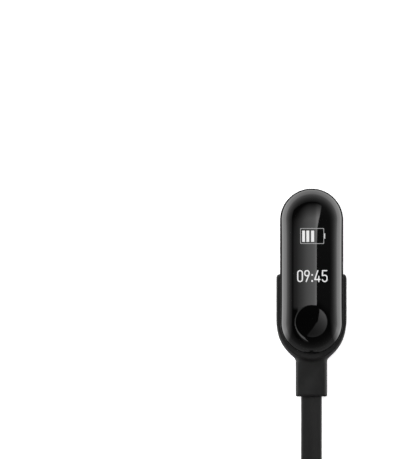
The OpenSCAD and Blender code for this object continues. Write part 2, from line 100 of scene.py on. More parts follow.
def add_camera():
    """Looks straight down from far away, so the sides of the parts hardly show."""
    data = bpy.data.cameras.new("camera")
    data.sensor_fit = "HORIZONTAL"
    data.sensor_width = SENSOR
    data.lens = FOCAL
    data.clip_end = 60
    camera = bpy.data.objects.new("camera", data)
    distance = FRAME_WIDTH * FOCAL / SENSOR
    camera.location = (VIEW_CENTRE[0] * MM, VIEW_CENTRE[1] * MM, (distance + WIDTH_AT_Z) * MM)
    bpy.context.scene.collection.objects.link(camera)
    bpy.context.scene.camera = camera


add_camera()


# ---------------------------------------------------------------- mesh helpers

def add_mesh(name, verts_mm, faces, normals=None):
    """A new smooth-shaded mesh object from points in millimetres."""
    mesh = bpy.data.meshes.new(name)
    mesh.from_pydata((np.asarray(verts_mm, float) * MM).tolist(), [], np.asarray(faces).tolist())
    mesh.polygons.foreach_set("use_smooth", [True] * len(mesh.polygons))
    if normals is not None:
        mesh.normals_split_custom_set_from_vertices(np.asarray(normals, float).tolist())
    mesh.update()
    obj = bpy.data.objects.new(name, mesh)
    bpy.context.scene.collection.objects.link(obj)
    return obj


def close_ends(obj):
    """Fills the open ends of a swept tube and turns its faces outwards."""
    mesh = bmesh.new()
    mesh.from_mesh(obj.data)
    bmesh.ops.holes_fill(mesh, edges=[e for e in mesh.edges if e.is_boundary])
    bmesh.ops.recalc_face_normals(mesh, faces=mesh.faces)
    mesh.to_mesh(obj.data)
    mesh.free()


def catmull(points, per_span):
    """Smooth curve through the points."""
    p = np.asarray(points, float)
    ends = np.vstack([2 * p[0] - p[1], p, 2 * p[-1] - p[-2]])
    out = []
    for k in range(len(p) - 1):
        a, b, c, d = ends[k:k + 4]
        for t in np.linspace(0, 1, per_span, endpoint=False):
            out.append(0.5 * (2 * b + (c - a) * t + (2 * a - 5 * b + 4 * c - d) * t * t
                              + (3 * b - a - 3 * c + d) * t ** 3))
    out.append(p[-1])
    return np.array(out)


# ---------------------------------------------------------------- cord

CORD_W = 5.9
CORD_T = 2.0
CORD_CORNER = 0.7
CORD_DIP = 0.05
CORD_DIP_W = 0.9
# Middle line of the cord, from inside the neck to inside the plug
ROUTE = [(0, -26, 2.4), (0, -29, 2.4), (0, -32, 2.4), (0, -35, 2.28), (0, -38, 2.05),
         (0, -41, 1.76), (0, -44, 1.48), (0, -48, 1.2), (0, -53, 1.04), (0, -60, 1), (0, -68, 1),
         (0, -76, 1), (0, -82, 1.04), (0, -87, 1.2), (0, -91, 1.5), (0, -95, 1.98),
         (0, -99, 2.58), (0, -103, 3.18), (0, -106, 3.58), (0, -109, 3.86), (0, -112, 3.98),
         (0, -114, 4)]


def cord_section():
    """Closed outline of the flat cord: round edges, and flats that dip a little along the middle."""
    half = CORD_W / 2 - CORD_CORNER
    out = []
    for quarter in range(4):
        sx = 1 if quarter in (0, 3) else -1
        sz = 1 if quarter < 2 else -1
        for k in range(7):
            turn = math.radians(90 * quarter + 15 * k)
            out.append((sx * half + CORD_CORNER * math.cos(turn),
                        sz * (CORD_T / 2 - CORD_CORNER) + CORD_CORNER * math.sin(turn)))
        if quarter in (0, 2):
            for x in np.linspace(sx * half, -sx * half, 14)[1:-1]:
                dip = CORD_DIP * math.exp(-(x / CORD_DIP_W) ** 2)
                out.append((x, sz * (CORD_T / 2 - dip)))
    return out


def make_cord():
    """Sweeps the section along the route; returns the cord and its smooth path."""
    path = catmull(ROUTE, 5)
    section = cord_section()
    n = len(section)
    verts = []
    for k, at in enumerate(path):
        ahead = path[min(k + 1, len(path) - 1)] - path[max(k - 1, 0)]
        ahead = ahead / np.linalg.norm(ahead)
        up = np.array([0, ahead[2], -ahead[1]])
        verts += [at + np.array([x, 0, 0]) + up * z for x, z in section]
    faces = []
    for k in range(len(path) - 1):
        for i in range(n):
            j = (i + 1) % n
            faces.append([k * n + i, k * n + j, (k + 1) * n + j, (k + 1) * n + i])
    obj = add_mesh("charging_cord", verts, faces)
    close_ends(obj)
    return obj, path


cord, cord_path = make_cord()
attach(cord, "charger")
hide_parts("cord")
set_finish(cord, "cord_black")


# ---------------------------------------------------------------- shapes from distance fields

def smax(a, b, k):
    """Larger of two fields, with the edge where they meet rounded over the width k."""
    h = np.maximum(k - np.abs(a - b), 0) / k
    return np.maximum(a, b) + h * h * k / 4


def smin(a, b, k):
    """Smaller of two fields, with the corner where they meet filled over the width k."""
    return -smax(-a, -b, k)


def slab(v, low, high):
    return np.maximum(low - v, v - high)


def brick(x, y, z, low, high, k):
    """Box with rounded edges."""
    return smax(smax(slab(x, low[0], high[0]), slab(y, low[1], high[1]), k),
                slab(z, low[2], high[2]), k)


def gradient(f, p, h=0.01):
    g = np.empty_like(p)
    for axis in range(3):
        step = np.zeros(3)
        step[axis] = h
        ahead, back = p + step, p - step
        g[:, axis] = (f(*ahead.T) - f(*back.T)) / (2 * h)
    return g


def surface(name, f, low, high, step):
    """Closed quad mesh of the place where the field f(x, y, z) is zero, with exact normals."""
    step = np.broadcast_to(np.asarray(step, float), 3)
    axes = [np.arange(low[a] - 1.5 * step[a], high[a] + 2.5 * step[a], step[a]) for a in range(3)]
    grid = np.meshgrid(*axes, indexing="ij")
    value = f(*grid).astype(np.float32)
    inside = value < 0
    shape = np.array(value.shape) - 1
    total = np.zeros((*shape, 3), np.float32)
    count = np.zeros(shape, np.float32)
    for axis in range(3):
        others = [a for a in range(3) if a != axis]
        head = [slice(None)] * 3
        tail = [slice(None)] * 3
        head[axis] = slice(0, -1)
        tail[axis] = slice(1, None)
        a, b = value[tuple(head)], value[tuple(tail)]
        crossed = (a < 0) != (b < 0)
        where = np.divide(a, a - b, out=np.zeros_like(a), where=crossed)
        for du in (0, 1):
            for dv in (0, 1):
                cut = [slice(None)] * 3
                cut[others[0]] = slice(du, du + shape[others[0]])
                cut[others[1]] = slice(dv, dv + shape[others[1]])
                hit = crossed[tuple(cut)]
                count += hit
                total[..., axis] += np.where(hit, where[tuple(cut)], 0)
                total[..., others[0]] += du * hit
                total[..., others[1]] += dv * hit
    cells = np.argwhere(count > 0)
    index = np.full(shape, -1)
    index[tuple(cells.T)] = np.arange(len(cells))
    offset = total[tuple(cells.T)] / count[tuple(cells.T)][:, None]
    origin = np.array([axis[0] for axis in axes])
    points = origin + (cells + offset) * step
    for _ in range(4):
        g = gradient(f, points)
        move = f(*points.T)[:, None] * g / np.maximum((g * g).sum(1, keepdims=True), 1e-6)
        points -= np.clip(move, -0.5 * step, 0.5 * step)
    faces = []
    for axis in range(3):
        u, v = [(1, 2), (2, 0), (0, 1)][axis]
        head = [slice(None)] * 3
        tail = [slice(None)] * 3
        head[axis] = slice(0, -1)
        tail[axis] = slice(1, None)
        crossed = inside[tuple(head)] != inside[tuple(tail)]
        edges = np.argwhere(crossed)
        edges = edges[(edges[:, u] > 0) & (edges[:, v] > 0)
                      & (edges[:, u] < shape[u]) & (edges[:, v] < shape[v])]
        corners = []
        for du, dv in ((1, 1), (0, 1), (0, 0), (1, 0)):
            cell = edges.copy()
            cell[:, u] -= du
            cell[:, v] -= dv
            corners.append(index[tuple(cell.T)])
        quads = np.stack(corners, 1)
        outward = inside[tuple(edges.T)]
        quads[~outward] = quads[~outward][:, ::-1]
        faces.append(quads)
    g = gradient(f, points)
    normals = g / np.linalg.norm(g, axis=1, keepdims=True)
    return add_mesh(name, points, np.vstack(faces), normals)


# ---------------------------------------------------------------- tracker capsule

EDGE_R = 4.5
GLASS_T = 1.0
TALL = TOP_Z - SEAT_Z
LEDGE = 0.12          # how far the case stands out past the glass
CROWN_RISE = 0.3      # the crown's middle above the top of the round edge
EDGE_X = HALF_W - LEDGE - EDGE_R
SILHOUETTE = TALL - EDGE_R - CROWN_RISE
CROWN_DROP = TALL - SILHOUETTE
CROWN_R = (EDGE_X ** 2 + CROWN_DROP ** 2 - EDGE_R ** 2) / (2 * (CROWN_DROP - EDGE_R))
SEAM = GLASS_LOW[2] - SEAT_Z
DIMPLE_R = 4.55
DIMPLE_DEPTH = 0.5
DIMPLE_Y = END_Y + 0.2
# The glass also curves lengthwise, between these two distances from its middle
CAMBER_FROM = 7.0
CAMBER_TO = TOP_END_Y - MID_Y
CAMBER_RATE = 0.0195


def from_spine(x, y):
    """Distance from the line down the middle of the capsule."""
    beyond = np.maximum(np.maximum(y - TOP_END_Y, END_Y - y), 0)
    return np.hypot(x, beyond)


def shrink(y):
    """Share of its height over the seam that the glass keeps: less towards the two ends."""
    off = np.abs(y - MID_Y)
    bend = np.clip(off - CAMBER_FROM, 0, CAMBER_TO - CAMBER_FROM)
    drop = CAMBER_RATE * bend * (bend / 2 + np.maximum(off - CAMBER_TO, 0))
    return 1 - drop / (TALL - SEAM)


def crown(d, z):
    """Outside of the glass: a flat crown arc that turns into the round edge. z is above the seat."""
    centre = TALL - CROWN_R
    on_crown = d * (SILHOUETTE - centre) < EDGE_X * (z - centre)
    return np.where(on_crown, np.hypot(d, z - centre) - CROWN_R,
                    np.hypot(d - EDGE_X, z - SILHOUETTE) - EDGE_R)


def dish(x, y):
    """How deep the touch dimple is: a shallow bowl with a softened rim."""
    r = np.hypot(x, y - DIMPLE_Y)
    bowl = DIMPLE_DEPTH * (1 - (r / DIMPLE_R) ** 2)
    return smax(bowl, np.zeros_like(bowl), 0.06)


def glass_field(x, y, z):
    z = z - SEAT_Z
    d = from_spine(x, y)
    outer = crown(d, SEAM + (z - SEAM) / shrink(y))
    carved = outer + dish(x, y) * (z > SILHOUETTE)
    inner = outer + GLASS_T
    shell = smax(carved, -inner, 0.1)
    return smax(shell, SEAM - z, 0.16)


def crown_height(x, y):
    """Height of the glass's surface where the crown arc holds, less the dimple."""
    d = from_spine(x, y)
    top = TALL - CROWN_R + np.sqrt(CROWN_R ** 2 - d * d)
    return SEAT_Z + SEAM + (top - SEAM) * shrink(y) - dish(x, y)


BELLY_W = HALF_W - 0.65
SLOPE_H = 2.7
FOOT_W = BELLY_W - SLOPE_H
GROOVE_W = HALF_W - 1.05
SHELL_TOP = SHELL_HIGH[2] - SEAT_Z
GROOVE_H = 1.0
GROOVE_HI = SHELL_TOP - 0.6
GROOVE_LO = GROOVE_HI - GROOVE_H
SHELL_WALL = 0.9
WINDOW_HOLE = 4.0
PIN_X = 1.83
PAD_R = 0.9
PIN_UP = 1.55         # height on the foot's slope where a pin touches it
PIN_CONE = FOOT_W + PIN_UP
PIN_Y = END_Y - math.sqrt(PIN_CONE ** 2 - PIN_X ** 2)
PIN_Z = SEAT_Z + PIN_UP


def pin_axis(x, y, z):
    """Distance from the nearer pin's slanted axis, and how far along it towards the capsule."""
    along = ((y - PIN_Y) + (z - PIN_Z)) * SLOPE
    side = ((y - PIN_Y) - (z - PIN_Z)) * SLOPE
    return np.hypot(np.abs(x) - PIN_X, side), along


def shell_outside(d, z):
    """Lower shell: round foot, 45 degree slope, belly, strap groove and the collar under the glass."""
    foot = smax(smax(d - BELLY_W, (d - FOOT_W - z) * SLOPE, 0.9), -z, 0.9)
    lower = smax(foot, z - GROOVE_LO + 0.2, 0.35)
    waist = smax(d - GROOVE_W, GROOVE_LO - 0.6 - z, 0.1)
    collar = smax(d - HALF_W, np.abs(z - SHELL_TOP) - 0.4, 0.2)
    return smax(smin(smin(lower, waist, 0.25), collar, 0.25), z - SHELL_TOP, 0.08)


def shell_field(x, y, z):
    d = from_spine(x, y)
    up = z - SEAT_Z
    outer = shell_outside(d, up)
    foot = smax((d - FOOT_W - up) * SLOPE, d - BELLY_W, 0.6)
    inner = smax(smax(foot, d - GROOVE_W + 0.05, 0.4) + SHELL_WALL, SHELL_WALL - up, 0.5)
    f = smax(outer, -inner, 0.1)
    window = np.hypot(x, y - MID_Y) - WINDOW_HOLE
    f = smax(f, -smax(window, up - 2, 0.1), 0.15)
    off_axis, along = pin_axis(x, y, z)
    return smax(f, -smax(off_axis - PAD_R, -along - 1, 0.1), 0.12)


glass = surface("tracker_glass", glass_field, GLASS_LOW, GLASS_HIGH, 0.24)
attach(glass, "tracker")
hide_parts("front_glass")
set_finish(glass, "glass_black")

case = surface("tracker_case", shell_field, SHELL_LOW, SHELL_HIGH, 0.24)
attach(case, "tracker")
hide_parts("back_shell")
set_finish(case, "shell_black")


# ---------------------------------------------------------------- what the display shows

LIT_LIFT = 0.012
LIT_T = 0.02
DIGIT_TOP = MID_Y + 0.39
DIGIT_H = 3.46
DIGIT_STROKE = 0.37
GAUGE_LOW = (-3.3, MID_Y + 7.75)
GAUGE_HIGH = (3.5, MID_Y + 12.25)
GAUGE_LINE = 0.22
BAR_EDGES = [(-2.74, -1.92), (-1.56, -0.72), (-0.2, 0.66)]


def arc_points(cx, cy, r, start, end, steps=14):
    turn = np.radians(np.linspace(start, end, steps))
    return list(zip(cx + r * np.cos(turn), cy + r * np.sin(turn)))


def digit_zero(w, h):
    r = w / 2
    return [arc_points(r, h - r, r, 0, 180) + arc_points(r, r, r, 180, 360) + [(w, h - r)]]


def digit_nine(w, h):
    r = w / 2
    low = h * 0.52
    ring = arc_points(r, h - r, r, 0, 180) + arc_points(r, low + r, r, 180, 360) + [(w, h - r)]
    return [ring, [(w, low + r), (w * 0.93, low + r * 0.4), (w * 0.32, 0)]]


def digit_four(w, h):
    bar = h * 0.19
    return [[(w * 0.58, h), (0, bar), (w, bar)], [(w * 0.78, h * 0.47), (w * 0.78, 0)]]


def digit_five(w, h):
    r = w / 2
    top = h * 0.58
    bowl = arc_points(r, top - r, r, 110, 0, 10) + arc_points(r, r, r, 0, -170)
    return [[(w * 0.92, h), (0.04, h), (0, top - 0.1)] + bowl]


def strokes(x, y, lines):
    """Distance from a set of polylines."""
    best = np.full(np.broadcast(x, y).shape, 1e3)
    for line in lines:
        for (ax, ay), (bx, by) in zip(line[:-1], line[1:]):
            dx, dy = bx - ax, by - ay
            length = max(dx * dx + dy * dy, 1e-9)
            t = np.clip(((x - ax) * dx + (y - ay) * dy) / length, 0, 1)
            best = np.minimum(best, np.hypot(x - ax - t * dx, y - ay - t * dy))
    return best


# Each digit: its drawing, left edge and width between the middles of its strokes
DIGITS = [(digit_zero, -3.97, 1.31), (digit_nine, -1.99, 1.23), (digit_four, 0.86, 1.42),
          (digit_five, 3.0, 1.3)]
COLON_X = 0.1
COLON_HEIGHTS = (0.17, 1.87)
COLON_HALF = 0.26


def digits_flat(x, y):
    """Distance field of the clock's digits, seen from above."""
    base = DIGIT_TOP - DIGIT_H + DIGIT_STROKE / 2
    tall = DIGIT_H - DIGIT_STROKE
    best = np.full(np.broadcast(x, y).shape, 1e3)
    for draw, left, width in DIGITS:
        best = np.minimum(best, strokes(x - left, y - base, draw(width, tall)))
    field = best - DIGIT_STROKE / 2
    for up in COLON_HEIGHTS:
        dot = np.maximum(np.abs(x - COLON_X), np.abs(y - base - up)) - COLON_HALF
        field = np.minimum(field, dot)
    return field


def rect(x, y, low, high, k):
    """Distance field of a rounded rectangle."""
    return smax(slab(x, low[0], high[0]), slab(y, low[1], high[1]), k)


def outline_flat(x, y):
    outside = rect(x, y, GAUGE_LOW, GAUGE_HIGH, 0.3)
    return np.maximum(outside, -(outside + GAUGE_LINE))


def bars_flat(x, y):
    """Three bars of charge, and the terminal on the end of the battery."""
    mid = (GAUGE_LOW[1] + GAUGE_HIGH[1]) / 2
    field = rect(x, y, (GAUGE_HIGH[0] + 0.02, mid - 0.8), (GAUGE_HIGH[0] + 0.3, mid + 0.8), 0.2)
    for left, right in BAR_EDGES:
        bar = rect(x, y, (left, GAUGE_LOW[1] + 0.55), (right, GAUGE_HIGH[1] - 0.72), 0.1)
        field = np.minimum(field, bar)
    return field


def lit_piece(name, flat, low, high):
    """A thin lit shape that follows the crown of the glass."""
    def field(x, y, z):
        lift = z - crown_height(x, y) - LIT_LIFT
        return smax(flat(x, y), np.abs(lift) - LIT_T / 2, 0.02)

    corners = [(x, y) for x in (low[0], high[0]) for y in (low[1], high[1])]
    bottom = crown_height(*np.array(corners).T).min()
    piece = surface(name, field, (*low, bottom), (*high, TOP_Z + LIT_LIFT + LIT_T),
                    (0.07, 0.07, 0.012))
    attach(piece, "tracker")
    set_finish(piece, "panel")
    return piece


clock = lit_piece("clock_digits", digits_flat, (-4.2, DIGIT_TOP - DIGIT_H), (4.6, DIGIT_TOP))
outline = lit_piece("gauge_outline", outline_flat, GAUGE_LOW, GAUGE_HIGH)
bars = lit_piece("gauge_bars", bars_flat, (BAR_EDGES[0][0], GAUGE_LOW[1] + 0.5),
                 (GAUGE_HIGH[0] + 0.4, GAUGE_HIGH[1] - 0.5))


# ---------------------------------------------------------------- charging cradle

FIT = 0.15
SEAT_GAP = 0.1
BOWL_LEN = 24
RIM_Y = TIPS_Y - BOWL_LEN
TAPER_LEN = 11.3
TAPER_Y = RIM_Y + TAPER_LEN
NECK_W = 8.94
NECK_H = 5.0
NECK_CROWN = 0.75
SLOT_R = 4.85
SLOT_DEPTH = 8.1
SLOT_Y = TIPS_Y - SLOT_DEPTH + SLOT_R
BLEND = 8
HOLE_R = 0.85
HOLE_DEPTH = 1.6
SKIN = 0.8            # wall left between the well's slope and the pocket behind it
POCKET_HALF = (NECK_W - 2.1) / 2
POCKET_TOP = NECK_H - 1
POCKET_BACK = EXIT_Y + 1.1
MOUTH_GAP = 0.1
MOUTH_DEPTH = 1.5
SPRING_WIRE = 0.05
SPRING_TURNS = 4
TURN_STEPS = 26
WIRE_SIDES = 8


def bowl_plan(x, y):
    """Outline of the bowl: straight arms and half an ellipse that closes at the rim."""
    q = np.maximum(TAPER_Y - y, 0) / TAPER_LEN
    return OUT_W * (np.hypot(x / OUT_W, q) - 1)


def foot_plan(x, y):
    """Outline of the base, which flows into the neck."""
    along = np.clip((TAPER_Y - y) / (TAPER_LEN + 0.9), 0, 1)
    e = OUT_W * np.sqrt(1 - along * along + 1e-9)
    half = (e ** BLEND + (NECK_W / 2) ** BLEND) ** (1 / BLEND)
    lean = 1 + np.where((along > 0) & (along < 1), (OUT_W * along / (TAPER_LEN * 0.6)) ** 2, 0)
    return (np.abs(x) - half) / np.sqrt(lean)


def well_field(x, y, z):
    """Space that the capsule sits in, open past the arm tips."""
    d = np.hypot(x, np.minimum(y - END_Y, 0))
    up = z - SEAT_Z
    foot = smax((d - FOOT_W - up) * SLOPE - FIT, d - BELLY_W - FIT, 0.4)
    low_part = smax(smax(foot, -SEAT_GAP - up, 0.5), up - GROOVE_LO - 0.06, 0.1)
    high_part = smax(d - GROOVE_W - FIT, GROOVE_LO - 0.5 - up, 0.1)
    return smin(low_part, high_part, 0.12)


def cord_mouth(x, z, mid_z, gap, corner):
    """Outline of the slot that the flat cord goes through, with a gap round the cord."""
    half_w = CORD_W / 2 + gap
    half_t = CORD_T / 2 + gap
    return smax(slab(x, -half_w, half_w), slab(z, mid_z - half_t, mid_z + half_t), corner)


def cradle_field(x, y, z):
    """Bowl with two arms and a neck, less the well, finger slot, pocket, cord slot and pin holes."""
    bowl = smax(smax(bowl_plan(x, y), y - TIPS_Y, 1.1), z - LIP_TOP, 0.55)
    neck_top = NECK_H - NECK_CROWN * np.abs(x / (NECK_W / 2)) ** 2.4
    neck = smax(smax(foot_plan(x, y), EXIT_Y - y, 0.5), z - neck_top, 0.9)
    arms = smax(neck, y - TIPS_Y, 1.1)
    outer = smax(smin(bowl, arms, 0.9), -z, 0.5)
    f = smax(outer, -well_field(x, y, z), 0.22)
    slot_plan = np.hypot(x, np.minimum(y - SLOT_Y, 0)) - SLOT_R
    f = smax(f, -slot_plan, 0.5)
    slope_line = SEAT_Z - FIT / SLOPE + END_Y - FOOT_W - SKIN / SLOPE
    pocket = smax(slab(x, -POCKET_HALF, POCKET_HALF), z - POCKET_TOP, 0.2)
    pocket = smax(pocket, smax(POCKET_BACK - y, (y + z - slope_line) * SLOPE, 0.2), 0.2)
    f = smax(f, -pocket, 0.12)
    mouth = cord_mouth(x, z, ROUTE[0][2], MOUTH_GAP, CORD_CORNER)
    f = smax(f, -smax(mouth, y - EXIT_Y - MOUTH_DEPTH, 0.1), 0.15)
    off_axis, along = pin_axis(x, y, z)
    return smax(f, -smax(off_axis - HOLE_R, slab(along, -HOLE_DEPTH, 0.4), 0.1), 0.1)


cradle = surface("charging_cradle", cradle_field, CRADLE_LOW, CRADLE_HIGH, 0.19)
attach(cradle, "charger")
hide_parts("cradle_shell")
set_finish(cradle, "cradle_black")


def pin_spring(side, spring_node, name):
    """Coil under the plunger's head."""
    points = np.array([tuple(v.co) for v in frame["nodes"][spring_node].data.vertices]) / MM
    axis = np.array([0, SLOPE, SLOPE])
    start = np.array([side * PIN_X, PIN_Y, PIN_Z])
    along = (points - start) @ axis
    low, high = along.min() + SPRING_WIRE, along.max() - SPRING_WIRE
    radius = np.abs(points[:, 0] - start[0]).max() - SPRING_WIRE
    across = np.array([1, 0, 0])
    out = np.cross(axis, across)
    verts = []
    steps = TURN_STEPS * SPRING_TURNS
    for k in range(steps + 1):
        turn = 2 * math.pi * SPRING_TURNS * k / steps
        radial = across * math.cos(turn) + out * math.sin(turn)
        centre = start + radial * radius + axis * (low + (high - low) * k / steps)
        for i in range(WIRE_SIDES):
            bend = 2 * math.pi * i / WIRE_SIDES
            verts.append(centre + SPRING_WIRE * (radial * math.cos(bend) + axis * math.sin(bend)))
    n = WIRE_SIDES
    faces = [[n * k + i, n * k + (i + 1) % n, n * (k + 1) + (i + 1) % n, n * (k + 1) + i]
             for k in range(steps) for i in range(n)]
    coil = add_mesh(name, verts, faces)
    close_ends(coil)
    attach(coil, "charger")
    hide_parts(spring_node)
    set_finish(coil, "spring_steel")
    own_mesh(coil)
    return coil


coils = [pin_spring(-1, "pin_spring_left", "pin_coil_left"),
         pin_spring(1, "pin_spring_right", "pin_coil_right")]


# ---------------------------------------------------------------- plug

PLUG_GAP = 0.05
HOLLOW_HALF_H = 2.3
HOLLOW_END = 2.2      # wall left between the hollow and the collar
CORD_IN_PLUG = 1.45


def grip_field(x, y, z):
    """Overmoulded grip: rounded brick, hollow where the metal shell and its core sit."""
    f = brick(x, y, z, GRIP_LOW, GRIP_HIGH, 1.3)
    mid_z = (GRIP_LOW[2] + GRIP_HIGH[2]) / 2
    hollow = brick(x, y, z, (USB_LOW[0] - PLUG_GAP, GRIP_LOW[1] - 2, mid_z - HOLLOW_HALF_H),
                   (USB_HIGH[0] + PLUG_GAP, GRIP_HIGH[1] - HOLLOW_END, mid_z + HOLLOW_HALF_H), 0.3)
    return smax(f, -hollow, 0.15)


def collar_field(x, y, z):
    """Step where the flat cord enters the plug."""
    f = brick(x, y, z, COLLAR_LOW - np.array([0, 0.6, 0]), COLLAR_HIGH, 0.9)
    f = smax(f, COLLAR_LOW[1] - y, 0.05)
    mouth = cord_mouth(x, z, ROUTE[-1][2], PLUG_GAP, 0.6)
    return smax(f, -smax(mouth, COLLAR_HIGH[1] - CORD_IN_PLUG - y, 0.1), 0.12)


grip = surface("plug_grip_shell", grip_field, GRIP_LOW, GRIP_HIGH, 0.3)
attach(grip, "charger")
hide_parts("plug_grip")
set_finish(grip, "grip_black")

collar = surface("plug_step", collar_field, COLLAR_LOW, COLLAR_HIGH, 0.16)
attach(collar, "charger")
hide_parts("plug_collar")
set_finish(collar, "grip_black")


# ---------------------------------------------------------------- materials

def new_material(name):
    """An empty material with a Principled shader; returns the material, its tree and the shader."""
    material = bpy.data.materials.new(name)
    material.use_nodes = True
    tree = material.node_tree
    shader = next(n for n in tree.nodes if n.type == "BSDF_PRINCIPLED")
    return material, tree, shader


def noise(tree, scale, detail=3, stretch=None):
    """Noise texture over the object's own coordinates."""
    coords = tree.nodes.new("ShaderNodeTexCoord")
    texture = tree.nodes.new("ShaderNodeTexNoise")
    texture.inputs["Scale"].default_value = scale
    texture.inputs["Detail"].default_value = detail
    source = coords.outputs["Object"]
    if stretch:
        mapping = tree.nodes.new("ShaderNodeMapping")
        mapping.inputs["Scale"].default_value = stretch
        tree.links.new(source, mapping.inputs["Vector"])
        source = mapping.outputs["Vector"]
    tree.links.new(source, texture.inputs["Vector"])
    return texture.outputs["Fac"]


def ramp(tree, source, stops):
    """Colour ramp from (position, grey or colour) stops."""
    node = tree.nodes.new("ShaderNodeValToRGB")
    elements = node.color_ramp.elements
    while len(elements) < len(stops):
        elements.new(0.5)
    for element, (position, value) in zip(elements, stops):
        colour = value if isinstance(value, tuple) else (value, value, value)
        element.position = position
        element.color = (*colour, 1)
    tree.links.new(source, node.inputs["Fac"])
    return node.outputs["Color"]


def bump(tree, shader, source, strength, distance):
    node = tree.nodes.new("ShaderNodeBump")
    node.inputs["Strength"].default_value = strength
    node.inputs["Distance"].default_value = distance
    tree.links.new(source, node.inputs["Height"])
    tree.links.new(node.outputs["Normal"], shader.inputs["Normal"])


def textured(name, dark, light, rough, grain, grain_depth, metallic=0.0, stretch=None, ior=1.5):
    """Moulded, cast or drawn surface: colour drifts between two tones, and fine grain breaks it up."""
    material, tree, shader = new_material(name)
    drift = noise(tree, 260, 4, stretch)
    tree.links.new(ramp(tree, drift, [(0.35, dark), (0.68, light)]), shader.inputs["Base Color"])
    fine = noise(tree, grain, 2, stretch)
    tree.links.new(ramp(tree, fine, [(0.3, rough[0]), (0.7, rough[1])]), shader.inputs["Roughness"])
    bump(tree, shader, fine, 0.6, grain_depth)
    shader.inputs["Metallic"].default_value = metallic
    shader.inputs["IOR"].default_value = ior
    return material


def glass_material():
    """Black polished glass: nearly mirror smooth, with faint smears."""
    material, tree, shader = new_material("glass_black")
    smear = noise(tree, 90, 5)
    tree.links.new(ramp(tree, smear, [(0.4, 0.0012), (0.75, 0.002)]), shader.inputs["Base Color"])
    tree.links.new(ramp(tree, smear, [(0.45, 0.03), (0.7, 0.06)]), shader.inputs["Roughness"])
    shader.inputs["IOR"].default_value = 1.8
    return material


def lit_material(name, strength):
    """Lit display segments, a touch uneven from pixel to pixel."""
    material, tree, shader = new_material(name)
    grain = noise(tree, 5000, 1)
    tree.links.new(ramp(tree, grain, [(0.3, 0.84), (0.7, 0.97)]), shader.inputs["Emission Color"])
    shader.inputs["Emission Strength"].default_value = strength
    shader.inputs["Base Color"].default_value = (0.02, 0.02, 0.022, 1)
    shader.inputs["Roughness"].default_value = 0.12
    return material


def board_material():
    """Solder mask over copper, with fine tracks showing through."""
    material, tree, shader = new_material("board_green")
    coords = tree.nodes.new("ShaderNodeTexCoord")
    brickwork = tree.nodes.new("ShaderNodeTexBrick")
    brickwork.inputs["Scale"].default_value = 700
    brickwork.inputs["Color1"].default_value = (0.012, 0.09, 0.035, 1)
    brickwork.inputs["Color2"].default_value = (0.018, 0.12, 0.05, 1)
    brickwork.inputs["Mortar"].default_value = (0.05, 0.2, 0.08, 1)
    tree.links.new(coords.outputs["Object"], brickwork.inputs["Vector"])
    tree.links.new(brickwork.outputs["Color"], shader.inputs["Base Color"])
    tree.links.new(ramp(tree, noise(tree, 900), [(0.3, 0.3), (0.7, 0.42)]),
                   shader.inputs["Roughness"])
    return material


